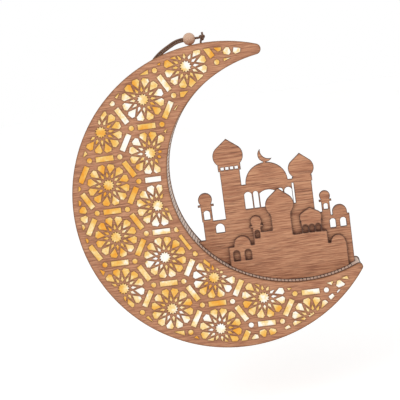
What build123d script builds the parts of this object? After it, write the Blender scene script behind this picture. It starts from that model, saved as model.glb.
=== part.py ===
"""Crescent light box in laser-cut plywood: fretwork front, kerf-bent walls, a mosque, string lights."""
import os
from math import asin, atan2, cos, degrees, hypot, pi, radians, sin, sqrt

from build123d import *

os.makedirs("parts", exist_ok=True)

# Driving dimensions in millimetres
# The room wall is the plane Y = 0, the front faces -Y, Z is up, and X runs to the viewer's right
# The origin is the centre of the crescent's outer circle

# Crescent outline
OUTER_R = 122.2
HOLLOW_X = 53.8
HOLLOW_Z = 17.1
HOLLOW_HALF_W = 98.0
HOLLOW_HALF_H = 91.9
HOLLOW_SIDE_R = 89.3
UPPER_TIP_R = 4.2
LOWER_TIP_R = 3.0

# Sheets and bent strips
PLY = 3.0
WALL_DEPTH = 24.0
WALL_T = 3.0
WALL_INSET = 0.4
WALL_SPLIT = 0.1
GLUE_GAP = 0.05
FILM_T = 0.4
FILM_GAP = 0.3

# Kerf cuts that let the inner strip bend
KERF_W = 0.5
KERF_DEPTH = 1.8
KERF_PITCH = 2.9
KERF_FROM = -119.0
KERF_COUNT = 107
FLAT_TRIM = 0.03

# Fretwork: twelve-fold rosettes on a triangular lattice
PITCH = 42.2
LATTICE_X = -54.6
LATTICE_Z = 0.3
LATTICE_STRETCH = 0.033
BORDER = 5.0
STAR_TIP_R = 4.6
STAR_ROOT_R = 3.3
KITE_IN_R = 5.9
KITE_WIDE_R = 7.3
KITE_HALF_W = 1.1
KITE_OUT_R = 10.5
PETAL_IN_R = 9.1
PETAL_WIDE_R = 14.5
PETAL_HALF_W = 3.1
PETAL_OUT_R = 16.6
PETAL_END_HALF_W = 2.0
BAR_L = 14.0
BAR_W = 4.1
DOT_D = 4.2
LEAST_CELL = 2.25

# Sides of small round sections, few because they repeat or stay out of sight
DOT_SIDES = 8
ROUND_SIDES = 20
SMALL_SIDES = 8
THIN_SIDES = 6
WIRE_SIDES = 4
BEAD_CHORDS = 5

# Mosque layers, with heights measured from the lowest point of the hollow
DOME_BELLY = 0.38
DOME_SHOULDER = 0.68
DOME_SHOULDER_W = 0.72
BAND_H = 6.0
EAVES_H = 0.9

# Battery tray and its two AAA cells
TRAY_X = -86.0
TRAY_Z = 0.0
CELL_D = 10.5
CELL_L = 44.5
CELL_NUB_D = 5.0
CELL_NUB_L = 1.0
CELL_GAP = 0.4
CELL_LIFT = 0.2
CONTACT_ROOM = 1.6
TRAY_WALL = 1.2
TRAY_CORNER = 1.5
FLANGE_T = 1.4
FLANGE_SIDE = 2.0
FLANGE_END = 6.5
DECK_T = 1.2
SWITCH_BAY = 9.0

# Contacts
LEAF_T = 0.5
LEAF_W = 8.6
LEAF_H = 8.8
LEAF_BUMP_D = 4.4
LEAF_BUMP_H = 0.9
TAIL_W = 2.0
TAIL_DEPTH = 7.5

# Switch
SWITCH_W = 12.0
SWITCH_L = 6.4
SWITCH_H = 4.4
KNOB_W = 3.0
KNOB_L = 2.4
KNOB_PROUD = 2.1
FOOT_W = 4.0
FOOT_L = 3.8
FOOT_H = 1.5
SWITCH_TRAVEL = 2.2
SLIDE_GAP = 0.35

# Cover of the cell bay
COVER_T = 1.6
COVER_RECESS = 0.4
COVER_GAP = 0.3
SKIRT_T = 1.0
GRIP_D = 12.0
GRIP_DEPTH = 0.7

# Screws that hold the tray
SCREW_D = 2.0
SCREW_HEAD_D = 3.8
SCREW_HEAD_H = 1.4
SCREW_GRIP = 2.2
SCREW_SPREAD = 16.0
SCREW_FIT = 0.03

# Resistor
RESISTOR_D = 2.3
RESISTOR_L = 6.3
RESISTOR_LEAD_D = 0.6
RESISTOR_LEAD_L = 17.0

# String lights
WIRE_D = 1.0
WIRE_BEND = 2.5
LED_D = 4.0
LED_L = 4.6
LED_PITCH = 33.0

# Hanging cord, its bead and its knots
STRAND_D = 1.75
STRAND_OFFSET = 0.98
STRAND_BEND = 3.5
CORD_DEPTH = 15.0
BEAD_D = 10.0
BEAD_BORE = 4.2
BEAD_X = -13.2
BEAD_CLEAR = 0.4
KNOT_D = 5.4
KNOT_SHARE = 0.45
KNOT_TAPER = 25
KNOT_TAILS = ((4, 3.9), (204, 4.2))
STOPPER_D = 7.0
SLOT_FROM = 106.5
SLOT_TO = 117.5
SLOT_W = 3.2

# Sizes that follow from the driving dimensions
BOX_DEPTH = WALL_DEPTH + 2 * PLY
FRONT_INNER = PLY + WALL_DEPTH
HOLLOW_BOTTOM = HOLLOW_Z - HOLLOW_HALF_H
SIDE_SHIFT = HOLLOW_HALF_W - HOLLOW_SIDE_R
END_DROP = HOLLOW_HALF_H - HOLLOW_SIDE_R
CROWN_R = HOLLOW_SIDE_R + (SIDE_SHIFT**2 + END_DROP**2) / (2 * END_DROP)
CROWN_SHIFT = CROWN_R - HOLLOW_HALF_H
SIDE_ANGLE = degrees(atan2(CROWN_SHIFT, SIDE_SHIFT))
WALL_IN = WALL_INSET + WALL_T
REAR_LAYER = BOX_DEPTH / 2 - PLY
FRONT_LAYER = BOX_DEPTH / 2

CELL_ROW_W = 2 * CELL_D + 3 * CELL_GAP
CELL_BAY_L = CELL_L + 2 * CONTACT_ROOM
CELL_STEP = CELL_D + CELL_GAP
TRAY_W = CELL_ROW_W + 2 * TRAY_WALL
TRAY_L = CELL_BAY_L + SWITCH_BAY + 3 * TRAY_WALL
TRAY_INNER = CELL_D + 2 * CELL_LIFT
TRAY_DEPTH = TRAY_INNER + TRAY_WALL
TRAY_LOW = TRAY_Z - TRAY_L / 2
TRAY_TOP = TRAY_Z + TRAY_L / 2
SWITCH_Z = TRAY_LOW + TRAY_WALL + SWITCH_BAY / 2
CELL_BAY_LOW = TRAY_TOP - TRAY_WALL - CELL_BAY_L
CELL_BAY_TOP = TRAY_TOP - TRAY_WALL
CELL_BAY_Z = (CELL_BAY_LOW + CELL_BAY_TOP) / 2
CELL_DEPTH = PLY + CELL_LIFT + CELL_D / 2
DECK_IN = PLY + DECK_T
SWITCH_LOW = SWITCH_Z - SWITCH_L / 2
SWITCH_TOP = SWITCH_Z + SWITCH_L / 2
FLANGE_IN = PLY + FLANGE_T
COVER_IN = COVER_RECESS + COVER_T
WIRE_DEPTH = PLY + LED_D / 2 + GLUE_GAP
KNOB_X = TRAY_X + SWITCH_TRAVEL / 2

WALL_OUTER_R = OUTER_R - WALL_INSET
BEAD_Z = sqrt((WALL_OUTER_R + BEAD_D / 2 + BEAD_CLEAR) ** 2 - BEAD_X**2)

ADD = Mode.ADD
CUT = Mode.SUBTRACT
COMMON = Mode.INTERSECT


# Shared shapes
def sheet(depth):
    """Drawing plane parallel to the room wall, depth in front of it."""
    return Plane.XZ.offset(depth)


def hollow(grow, mode=ADD):
    """Oval hollow of four tangent arcs, drawn larger all round by grow."""
    side_r = HOLLOW_SIDE_R + grow
    crown_r = CROWN_R + grow
    crown_angle = 180 - 2 * SIDE_ANGLE
    with BuildLine() as outline:
        CenterArc((HOLLOW_X - SIDE_SHIFT, HOLLOW_Z), side_r, 180 - SIDE_ANGLE, 2 * SIDE_ANGLE)
        CenterArc((HOLLOW_X, HOLLOW_Z + CROWN_SHIFT), crown_r, 180 + SIDE_ANGLE, crown_angle)
        CenterArc((HOLLOW_X + SIDE_SHIFT, HOLLOW_Z), side_r, -SIDE_ANGLE, 2 * SIDE_ANGLE)
        CenterArc((HOLLOW_X, HOLLOW_Z - CROWN_SHIFT), crown_r, SIDE_ANGLE, crown_angle)
    make_face(outline.edges(), mode=mode)


def hollow_point(run, grow):
    """Point on the hollow's edge drawn larger by grow, run along it from its leftmost point."""
    side_run = HOLLOW_SIDE_R * radians(SIDE_ANGLE)
    way = 1 if run > 0 else -1
    if abs(run) < side_run:
        angle = 180 + degrees(run / HOLLOW_SIDE_R)
        centre = (HOLLOW_X - SIDE_SHIFT, HOLLOW_Z)
        radius = HOLLOW_SIDE_R + grow
    else:
        angle = 180 + way * (SIDE_ANGLE + degrees((abs(run) - side_run) / CROWN_R))
        centre = (HOLLOW_X, HOLLOW_Z + way * CROWN_SHIFT)
        radius = CROWN_R + grow
    return centre[0] + radius * cos(radians(angle)), centre[1] + radius * sin(radians(angle))


def crescent(inset, mode=ADD):
    """Crescent between the outer circle and the hollow, drawn in by inset, with rounded horns."""
    with BuildSketch(mode=Mode.PRIVATE) as shape:
        Circle(OUTER_R - inset)
        hollow(inset, mode=CUT)
        if UPPER_TIP_R > inset:
            fillet(shape.vertices().sort_by(Axis.Y)[-1], UPPER_TIP_R - inset)
        if LOWER_TIP_R > inset:
            fillet(shape.vertices().sort_by(Axis.X)[-1], LOWER_TIP_R - inset)
    add(shape.sketch, mode=mode)


def wall_ring():
    """Plan of both bent strips as one closed band."""
    crescent(WALL_INSET)
    crescent(WALL_IN, mode=CUT)


def block(left, right, low, high, mode=ADD):
    """Rectangle between two sides and two heights."""
    with Locations(((left + right) / 2, (low + high) / 2)):
        Rectangle(right - left, high - low, mode=mode)


def arch(centre, sill, width, height, rise, mode=CUT):
    """Upright opening with an arched head of the given rise."""
    left = centre - width / 2
    right = centre + width / 2
    spring = sill + height - rise
    with BuildLine() as outline:
        Polyline((left, spring), (left, sill), (right, sill), (right, spring))
        ThreePointArc((right, spring), (centre, sill + height), (left, spring))
    make_face(outline.edges(), mode=mode)


def onion_dome(centre, neck, neck_w, belly_w, rise):
    """Onion dome: a round belly over the neck, then straight shoulders to a point."""
    belly = neck + DOME_BELLY * rise
    shoulder = neck + DOME_SHOULDER * rise
    shoulder_w = DOME_SHOULDER_W * belly_w
    tip = (centre, neck + rise)
    with BuildLine() as outline:
        Line((centre - neck_w / 2, neck), (centre + neck_w / 2, neck))
        ThreePointArc(
            (centre + neck_w / 2, neck),
            (centre + belly_w / 2, belly),
            (centre + shoulder_w / 2, shoulder),
        )
        Polyline((centre + shoulder_w / 2, shoulder), tip, (centre - shoulder_w / 2, shoulder))
        ThreePointArc(
            (centre - shoulder_w / 2, shoulder),
            (centre - belly_w / 2, belly),
            (centre - neck_w / 2, neck),
        )
    make_face(outline.edges())


def ball_turret(centre, base, body_w, collar, collar_w, ball_d):
    """Slim turret with a collar and a ball dome on a short neck."""
    block(centre - body_w / 2, centre + body_w / 2, base, collar)
    block(centre - collar_w / 2, centre + collar_w / 2, collar, collar + 1.6)
    block(centre - ball_d / 3, centre + ball_d / 3, collar + 1.6, collar + 1.6 + ball_d / 4)
    with Locations((centre, collar + 1.6 + ball_d * 0.35)):
        Circle(ball_d / 2)


def tube(name, points, diameter, sides, bend):
    """Tube of a few sides along straight runs joined by tangent arcs, and its middle line."""
    with BuildPart() as solid:
        with BuildLine() as route:
            FilletPolyline(*points, radius=bend)
        line = route.wires()[0]
        with BuildSketch(Plane(origin=line @ 0, z_dir=line % 0)) as section:
            RegularPolygon(diameter / 2, sides)
        sweep(path=line)
    drawn = section.sketch.area * line.length
    print(name, "volume", round(solid.part.volume, 1), "section x length", round(drawn, 1))
    return solid.part, line


# Back plate with the opening for the battery tray
SCREW_SPOTS = [
    (TRAY_X + side * SCREW_SPREAD / 2, end)
    for side in (-1, 1)
    for end in (TRAY_LOW - FLANGE_END / 2, TRAY_TOP + FLANGE_END / 2)
]

with BuildPart() as back_plate:
    with BuildSketch(sheet(0)):
        crescent(0)
        with Locations((TRAY_X, TRAY_Z)):
            RectangleRounded(TRAY_W, TRAY_L, TRAY_CORNER, mode=CUT)
    extrude(amount=PLY)
    with BuildSketch(sheet(PLY - SCREW_GRIP)):
        with Locations(*SCREW_SPOTS):
            RegularPolygon(SCREW_D / 2 + SCREW_FIT, THIN_SIDES)
    extrude(amount=SCREW_GRIP, mode=CUT)
back_plate.part.label = "back_plate"
export_step(back_plate.part, "parts/back_plate.step")

# Outer strip, with the slot the cord comes out of
with BuildPart() as outer_wall:
    with BuildSketch(sheet(PLY)):
        wall_ring()
        hollow(WALL_IN + WALL_SPLIT, mode=CUT)
    extrude(amount=WALL_DEPTH)
    with BuildSketch(sheet(CORD_DEPTH - SLOT_W / 2)):
        slot_corners = [
            (r * cos(radians(a)), r * sin(radians(a)))
            for r, a in (
                (OUTER_R - 2 * WALL_IN, SLOT_FROM),
                (OUTER_R + WALL_IN, SLOT_FROM),
                (OUTER_R + WALL_IN, SLOT_TO),
                (OUTER_R - 2 * WALL_IN, SLOT_TO),
            )
        ]
        Polygon(*slot_corners, align=None)
    extrude(amount=SLOT_W, mode=CUT)
outer_wall.part.label = "outer_wall"
export_step(outer_wall.part, "parts/outer_wall.step")

# Inner strip: kerf cuts across the side that shows, with a stiff flat between each two
kerf_face = WALL_INSET + FLAT_TRIM
kerf_corners = []
for k in range(KERF_COUNT):
    kerf_run = KERF_FROM + k * KERF_PITCH
    kerf_corners.append(hollow_point(kerf_run - KERF_W / 2, kerf_face))
    kerf_corners.append(hollow_point(kerf_run, kerf_face + KERF_DEPTH))
    kerf_corners.append(hollow_point(kerf_run + KERF_W / 2, kerf_face))

with BuildPart() as inner_wall:
    with BuildSketch(sheet(PLY)):
        wall_ring()
        hollow(WALL_IN, mode=COMMON)
        Polygon(*kerf_corners, (HOLLOW_X, HOLLOW_Z), align=None, mode=CUT)
    extrude(amount=WALL_DEPTH)
inner_wall.part.label = "inner_wall"
export_step(inner_wall.part, "parts/inner_wall.step")

# Fretwork cells, gathered by kind over the whole lattice
rosettes = []
for column in range(-2, 6):
    for row in range(-6, 7):
        x = LATTICE_X + column * PITCH * cos(radians(30))
        z = LATTICE_Z + (row - column / 2) * PITCH
        if hypot(x, z) < OUTER_R + PITCH / 2:
            rosettes.append((x, z))


def around(radius, first, step, count):
    """Places at radius from every rosette's centre, each turned to face outwards."""
    places = []
    for x, z in rosettes:
        for k in range(count):
            a = first + k * step
            cell_x = x + radius * cos(radians(a))
            cell_z = z + radius * sin(radians(a))
            cell_x += LATTICE_STRETCH * max(0, cell_x)
            if hypot(cell_x, cell_z) < OUTER_R:
                places.append(Location((cell_x, cell_z, 0), (0, 0, a)))
    return places


star_corners = [
    (r * cos(radians(a)), r * sin(radians(a)))
    for k in range(12)
    for r, a in ((STAR_TIP_R, 30 * k), (STAR_ROOT_R, 30 * k + 15))
]
kite_corners = [
    (KITE_IN_R - KITE_WIDE_R, 0),
    (0, -KITE_HALF_W),
    (KITE_OUT_R - KITE_WIDE_R, 0),
    (0, KITE_HALF_W),
]
petal_corners = [
    (PETAL_IN_R - PETAL_WIDE_R, 0),
    (0, -PETAL_HALF_W),
    (PETAL_OUT_R - PETAL_WIDE_R, -PETAL_END_HALF_W),
    (PETAL_OUT_R - PETAL_WIDE_R, PETAL_END_HALF_W),
    (0, PETAL_HALF_W),
]

with BuildSketch(sheet(FRONT_INNER)) as cells:
    with Locations(*around(0, 0, 0, 1)):
        Polygon(*star_corners, align=None)
    with Locations(*around(KITE_WIDE_R, 0, 30, 12)):
        Polygon(*kite_corners, align=None)
    with Locations(*around(PETAL_WIDE_R, 15, 30, 12)):
        Polygon(*petal_corners, align=None)
    with Locations(*around(PITCH / 2, 30, 60, 3)):
        Rectangle(BAR_W, BAR_L)
    with Locations(*around(PITCH / sqrt(3), 0, 60, 2)):
        RegularPolygon(DOT_D / 2, DOT_SIDES)
    crescent(BORDER, mode=COMMON)

# Front plate, pierced by every cell that is more than a sliver
with BuildPart() as front_fretwork:
    with BuildSketch(sheet(FRONT_INNER)):
        crescent(0)
    extrude(amount=PLY)
    openings = [face for face in cells.sketch.faces() if face.area > LEAST_CELL]
    extrude(openings, amount=PLY, mode=CUT)
front_fretwork.part.label = "front_fretwork"
export_step(front_fretwork.part, "parts/front_fretwork.step")
print("fretwork openings", len(openings))

# Diffuser film glued behind the fretwork, which gives every opening an even glow
with BuildPart() as diffuser_film:
    with BuildSketch(sheet(FRONT_INNER - FILM_T)):
        crescent(WALL_IN + FILM_GAP)
    extrude(amount=FILM_T)
diffuser_film.part.label = "diffuser_film"
export_step(diffuser_film.part, "parts/diffuser_film.step")

# Rear mosque layer: minarets, turrets, central dome and arcade
MINARET_L = HOLLOW_X - 48.9
MINARET_R = HOLLOW_X + 7.8
GREAT_DOME = HOLLOW_X - 20.6
TURRET_L = HOLLOW_X - 71.6
TURRET_R = HOLLOW_X + 23.9
GATE_HOUSE = HOLLOW_X + 34.35
MINARET_L_W = 16.0
MINARET_R_W = 14.3
ARCADE_SILL = HOLLOW_BOTTOM + 60.9
ARCADE_H = 13.8
ARCADE_TOP = ARCADE_SILL + ARCADE_H
# Arches of the arcade: distance from the middle, width and rise of the round head
MIDDLE_ARCH = (13.6, 2.4)
SIDE_ARCHES = ((10.0, 4.0, 1.9), (16.2, 6.0, 2.2))
BAND_TOP = ARCADE_TOP + BAND_H
DOME_W = 34.0
DOME_H = 16.0
WALL_L_TOP = HOLLOW_BOTTOM + 54.8
WALL_R_TOP = HOLLOW_BOTTOM + 51.0
GATE_TOP = HOLLOW_BOTTOM + 47.6
FOOT_TOP = HOLLOW_BOTTOM + 39.7
BALCONY = HOLLOW_BOTTOM + 93.5
BALCONY_H = 4.9
COLLAR_R = HOLLOW_BOTTOM + 77.5
COLLAR_R_H = 4.5
FINIAL_Z = BAND_TOP + DOME_H + 6.0

with BuildPart() as mosque_rear_layer:
    with BuildSketch(sheet(REAR_LAYER)):
        block(TURRET_L - 3.8, MINARET_L, HOLLOW_BOTTOM, WALL_L_TOP)
        block(TURRET_L - 9.0, TURRET_L, HOLLOW_BOTTOM, FOOT_TOP)
        block(MINARET_L, MINARET_R, HOLLOW_BOTTOM, BAND_TOP)
        block(MINARET_R, TURRET_R + 3.3, HOLLOW_BOTTOM, WALL_R_TOP)
        block(TURRET_R, GATE_HOUSE + 7.5, HOLLOW_BOTTOM, GATE_TOP)
        block(MINARET_L - MINARET_L_W / 2, MINARET_L + MINARET_L_W / 2, HOLLOW_BOTTOM, BALCONY)
        block(MINARET_L - 9.15, MINARET_L + 9.15, BALCONY, BALCONY + BALCONY_H)
        onion_dome(MINARET_L, BALCONY + BALCONY_H, 17.0, 24.3, 20.9)
        block(MINARET_R - MINARET_R_W / 2, MINARET_R + MINARET_R_W / 2, HOLLOW_BOTTOM, COLLAR_R)
        block(MINARET_R - 7.95, MINARET_R + 7.95, COLLAR_R, COLLAR_R + COLLAR_R_H)
        onion_dome(MINARET_R, COLLAR_R + COLLAR_R_H, 13.6, 20.5, 18.6)
        ball_turret(TURRET_L, WALL_L_TOP, 8.8, WALL_L_TOP + 12.2, 12.9, 11.2)
        ball_turret(TURRET_R, WALL_R_TOP, 6.6, WALL_R_TOP + 8.2, 10.0, 8.6)
        arch(GATE_HOUSE, GATE_TOP, 11.7, 8.0, 5.8, mode=ADD)
        with Locations((GREAT_DOME, BAND_TOP)):
            Ellipse(DOME_W / 2, DOME_H)
        with Locations((MINARET_L - 5.7, BALCONY + 2.1), (MINARET_L - 1.9, BALCONY + 2.1),
                       (MINARET_L + 1.9, BALCONY + 2.1), (MINARET_L + 5.7, BALCONY + 2.1)):
            Rectangle(2.6, 2.4, mode=CUT)
        arch(GREAT_DOME, ARCADE_SILL, MIDDLE_ARCH[0], ARCADE_H, MIDDLE_ARCH[1])
        for away, wide, rise in SIDE_ARCHES:
            arch(GREAT_DOME - away, ARCADE_SILL, wide, ARCADE_H, rise)
            arch(GREAT_DOME + away, ARCADE_SILL, wide, ARCADE_H, rise)
        block(MINARET_R - 8.75, MINARET_R - 7.3, ARCADE_SILL, COLLAR_R, mode=CUT)
        arch(TURRET_L, WALL_L_TOP + 1.4, 5.0, 7.6, 3.0)
        arch(TURRET_R, WALL_R_TOP + 1.9, 3.4, 4.9, 1.9)
        arch(TURRET_L + 9.3, WALL_L_TOP - 10.3, 7.0, 7.5, 3.5)
        arch(GATE_HOUSE - 6.35, GATE_TOP - 10.2, 4.5, 7.5, 2.25)
        arch(GATE_HOUSE + 1.95, GATE_TOP - 10.2, 4.8, 7.5, 2.4)
        with BuildLine():
            moon_back = ThreePointArc(
                (GREAT_DOME - 2.2, FINIAL_Z + 5.0),
                (GREAT_DOME - 3.1, FINIAL_Z - 3.8),
                (GREAT_DOME + 6.2, FINIAL_Z - 3.2),
            )
            ThreePointArc(
                moon_back @ 1,
                (GREAT_DOME - 0.3, FINIAL_Z - 1.4),
                moon_back @ 0,
            )
        make_face()
        block(GREAT_DOME - 0.9, GREAT_DOME + 0.9, BAND_TOP + DOME_H - 1.0, FINIAL_Z - 3.6)
        hollow(WALL_INSET - GLUE_GAP, mode=COMMON)
    extrude(amount=PLY)
mosque_rear_layer.part.label = "mosque_rear_layer"
export_step(mosque_rear_layer.part, "parts/mosque_rear_layer.step")

# Front mosque layer: pointed tower, domed hall, turret and low house
TOWER = HOLLOW_X - 12.8
HALL = HOLLOW_X + 10.7
TURRET_F = HOLLOW_X - 33.2
HOUSE_L = HOLLOW_X - 46.2
HOUSE_R = HOLLOW_X + 30.4
TOWER_W = 16.0
HALL_W = 16.2
TOWER_NECK = HOLLOW_BOTTOM + 54.7
STEP_L = HOLLOW_BOTTOM + 41.7
STEP_R = HOLLOW_BOTTOM + 36.4
HALL_EAVES = HOLLOW_BOTTOM + 45.6
HOUSE_L_TOP = HOLLOW_BOTTOM + 32.2
HOUSE_R_TOP = HOLLOW_BOTTOM + 26.0

with BuildPart() as mosque_front_layer:
    with BuildSketch(sheet(FRONT_LAYER)):
        block(HOUSE_L - 11.4, TURRET_F, HOLLOW_BOTTOM, HOUSE_L_TOP)
        block(TURRET_F, TOWER, HOLLOW_BOTTOM, STEP_L)
        block(TOWER, HALL + 11.7, HOLLOW_BOTTOM, STEP_R)
        block(HALL, HOUSE_R + 6.4, HOLLOW_BOTTOM, HOUSE_R_TOP)
        block(TOWER - TOWER_W / 2, TOWER + TOWER_W / 2, HOLLOW_BOTTOM, TOWER_NECK)
        block(TOWER - 8.8, TOWER + 8.8, TOWER_NECK - EAVES_H, TOWER_NECK)
        onion_dome(TOWER, TOWER_NECK, 16.2, 22.8, 20.4)
        block(HALL - HALL_W / 2, HALL + HALL_W / 2, HOLLOW_BOTTOM, HALL_EAVES)
        block(HALL - 9.2, HALL + 9.2, HALL_EAVES - EAVES_H, HALL_EAVES)
        onion_dome(HALL, HALL_EAVES, 15.6, 17.8, 10.9)
        ball_turret(TURRET_F, HOLLOW_BOTTOM, 6.6, HOLLOW_BOTTOM + 45.9, 11.0, 9.2)
        arch(HOUSE_L, HOUSE_L_TOP, 13.5, 8.2, 6.7, mode=ADD)
        arch(HOUSE_R, HOUSE_R_TOP, 11.6, 6.0, 5.7, mode=ADD)
        for step in (-1, 0, 1):
            arch(HALL + step * 5.1, STEP_R, 4.3, 6.6, 2.7)
        arch(TURRET_F, STEP_L - 4.6, 4.0, 6.4, 2.2)
        for side in (-1, 1):
            arch(HOUSE_L - 0.9 + side * 4.65, HOUSE_L_TOP - 11.8, 5.2, 8.7, 2.6)
        hollow(WALL_INSET - GLUE_GAP, mode=COMMON)
    extrude(amount=PLY)
mosque_front_layer.part.label = "mosque_front_layer"
export_step(mosque_front_layer.part, "parts/mosque_front_layer.step")

# Battery tray: a flange on the back plate, a cell bay open to the back, a switch bay open to the inside
slot_w = KNOB_W + SWITCH_TRAVEL + 2 * SLIDE_GAP
slot_l = KNOB_L + 2 * SLIDE_GAP
TAIL_SPOTS = [(TRAY_X - CELL_STEP / 2, -TAIL_DEPTH), (TRAY_X + CELL_STEP / 2, -TAIL_DEPTH)]

with BuildPart() as battery_tray:
    with BuildSketch(sheet(PLY)):
        with Locations((TRAY_X, TRAY_Z)):
            RectangleRounded(TRAY_W + 2 * FLANGE_SIDE, TRAY_L + 2 * FLANGE_END, TRAY_CORNER)
        with Locations(*SCREW_SPOTS):
            RegularPolygon(SCREW_D / 2 + CELL_LIFT, THIN_SIDES, mode=CUT)
    extrude(amount=FLANGE_T)
    with BuildSketch(sheet(PLY)):
        with Locations((TRAY_X, TRAY_Z)):
            RectangleRounded(TRAY_W, TRAY_L, TRAY_CORNER)
    extrude(amount=TRAY_DEPTH)
    with BuildSketch(sheet(PLY)):
        with Locations((TRAY_X, CELL_BAY_Z)):
            Rectangle(CELL_ROW_W, CELL_BAY_L)
    extrude(amount=TRAY_INNER, mode=CUT)
    with BuildSketch(sheet(DECK_IN)):
        with Locations((TRAY_X, SWITCH_Z)):
            Rectangle(CELL_ROW_W, SWITCH_BAY)
    extrude(amount=TRAY_DEPTH, mode=CUT)
    with BuildSketch(sheet(PLY)):
        with Locations((TRAY_X, SWITCH_Z)):
            Rectangle(slot_w, slot_l)
    extrude(amount=DECK_T, mode=CUT)
    with BuildSketch(Plane.XY.offset(TRAY_LOW)):
        with Locations((TRAY_X, -WIRE_DEPTH)):
            RegularPolygon(WIRE_D / 2 + CELL_LIFT, THIN_SIDES)
    extrude(amount=TRAY_WALL, mode=CUT)
    with BuildSketch(Plane.XY.offset(CELL_BAY_LOW - TRAY_WALL)):
        with Locations(*TAIL_SPOTS):
            Rectangle(TAIL_W + 2 * CELL_LIFT, LEAF_T + 2 * CELL_LIFT)
    extrude(amount=TRAY_WALL, mode=CUT)
battery_tray.part.label = "battery_tray"
export_step(battery_tray.part, "parts/battery_tray.step")

# Screws from inside, through the flange into the back plate
with BuildPart() as tray_screws:
    with BuildSketch(sheet(FLANGE_IN)):
        with Locations(*SCREW_SPOTS):
            RegularPolygon(SCREW_HEAD_D / 2, SMALL_SIDES)
    extrude(amount=SCREW_HEAD_H)
    with BuildSketch(sheet(PLY - SCREW_GRIP)):
        with Locations(*SCREW_SPOTS):
            RegularPolygon(SCREW_D / 2, THIN_SIDES)
    extrude(amount=SCREW_GRIP + FLANGE_T)
tray_screws.part.label = "tray_screws"
export_step(tray_screws.part, "parts/tray_screws.step")

# Two cells side by side, one turned end for end
with BuildPart() as battery_cells:
    for side in (-1, 1):
        centre = (TRAY_X + side * CELL_STEP / 2, -CELL_DEPTH)
        can_low = CELL_BAY_LOW + CONTACT_ROOM + (CELL_NUB_L if side > 0 else 0)
        with BuildSketch(Plane.XY.offset(can_low)):
            with Locations(centre):
                RegularPolygon(CELL_D / 2, ROUND_SIDES)
        extrude(amount=CELL_L - CELL_NUB_L)
        with BuildSketch(Plane.XY.offset(CELL_BAY_LOW + CONTACT_ROOM)):
            with Locations(centre):
                RegularPolygon(CELL_NUB_D / 2, SMALL_SIDES)
        extrude(amount=CELL_L)
battery_cells.part.label = "battery_cells"
export_step(battery_cells.part, "parts/battery_cells.step")

# Sprung leaf that joins the two cells at the upper end
CELL_SPOTS = [(TRAY_X - CELL_STEP / 2, -CELL_DEPTH), (TRAY_X + CELL_STEP / 2, -CELL_DEPTH)]
bridge_low = CELL_BAY_TOP - LEAF_T

with BuildPart() as contact_bridge:
    with BuildSketch(Plane.XY.offset(bridge_low)):
        with Locations((TRAY_X, -CELL_DEPTH)):
            Rectangle(LEAF_W + CELL_STEP, LEAF_H)
    extrude(amount=LEAF_T)
    with BuildSketch(Plane.XY.offset(bridge_low)):
        with Locations(*CELL_SPOTS):
            RegularPolygon(LEAF_BUMP_D / 2, SMALL_SIDES)
    extrude(amount=-LEAF_BUMP_H)
contact_bridge.part.label = "contact_bridge"
export_step(contact_bridge.part, "parts/contact_bridge.step")

# Sprung end leaves at the lower end, each with a tail that reaches the switch
terminal_top = CELL_BAY_LOW + LEAF_T

with BuildPart() as contact_terminals:
    with BuildSketch(Plane.XY.offset(CELL_BAY_LOW)):
        with Locations(*CELL_SPOTS):
            Rectangle(LEAF_W, LEAF_H)
    extrude(amount=LEAF_T)
    with BuildSketch(Plane.XY.offset(terminal_top)):
        with Locations(*CELL_SPOTS):
            RegularPolygon(LEAF_BUMP_D / 2, SMALL_SIDES)
    extrude(amount=LEAF_BUMP_H)
    with BuildSketch(Plane.XY.offset(SWITCH_TOP)):
        with Locations(*TAIL_SPOTS):
            Rectangle(TAIL_W, LEAF_T)
    extrude(amount=terminal_top - SWITCH_TOP)
contact_terminals.part.label = "contact_terminals"
export_step(contact_terminals.part, "parts/contact_terminals.step")

# Slide switch under the deck
channel_w = FOOT_W + SWITCH_TRAVEL + 2 * SLIDE_GAP
channel_l = FOOT_L + 2 * SLIDE_GAP
channel_h = FOOT_H + 2 * SLIDE_GAP

with BuildPart() as switch_body:
    with BuildSketch(sheet(DECK_IN)):
        with Locations((TRAY_X, SWITCH_Z)):
            Rectangle(SWITCH_W, SWITCH_L)
            Rectangle(channel_w, channel_l, mode=CUT)
    extrude(amount=channel_h)
    with BuildSketch(sheet(DECK_IN + channel_h)):
        with Locations((TRAY_X, SWITCH_Z)):
            Rectangle(SWITCH_W, SWITCH_L)
    extrude(amount=SWITCH_H - channel_h)
switch_body.part.label = "switch_body"
export_step(switch_body.part, "parts/switch_body.step")

# Slider of the switch, drawn in the lit position
with BuildPart() as switch_slider:
    with BuildSketch(sheet(DECK_IN + SLIDE_GAP)):
        with Locations((KNOB_X, SWITCH_Z)):
            Rectangle(FOOT_W, FOOT_L)
    extrude(amount=FOOT_H)
    with BuildSketch(sheet(PLY - KNOB_PROUD)):
        with Locations((KNOB_X, SWITCH_Z)):
            Rectangle(KNOB_W, KNOB_L)
    extrude(amount=KNOB_PROUD + DECK_T + SLIDE_GAP)
    with BuildSketch(sheet(PLY - KNOB_PROUD)):
        with Locations((KNOB_X - 0.7, SWITCH_Z), (KNOB_X + 0.7, SWITCH_Z)):
            Rectangle(0.5, KNOB_L)
    extrude(amount=0.5, mode=CUT)
switch_slider.part.label = "switch_slider"
export_step(switch_slider.part, "parts/switch_slider.step")

# Resistor beside the switch, soldered below its inner face
resistor_depth = DECK_IN + SWITCH_H + RESISTOR_D / 2

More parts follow.
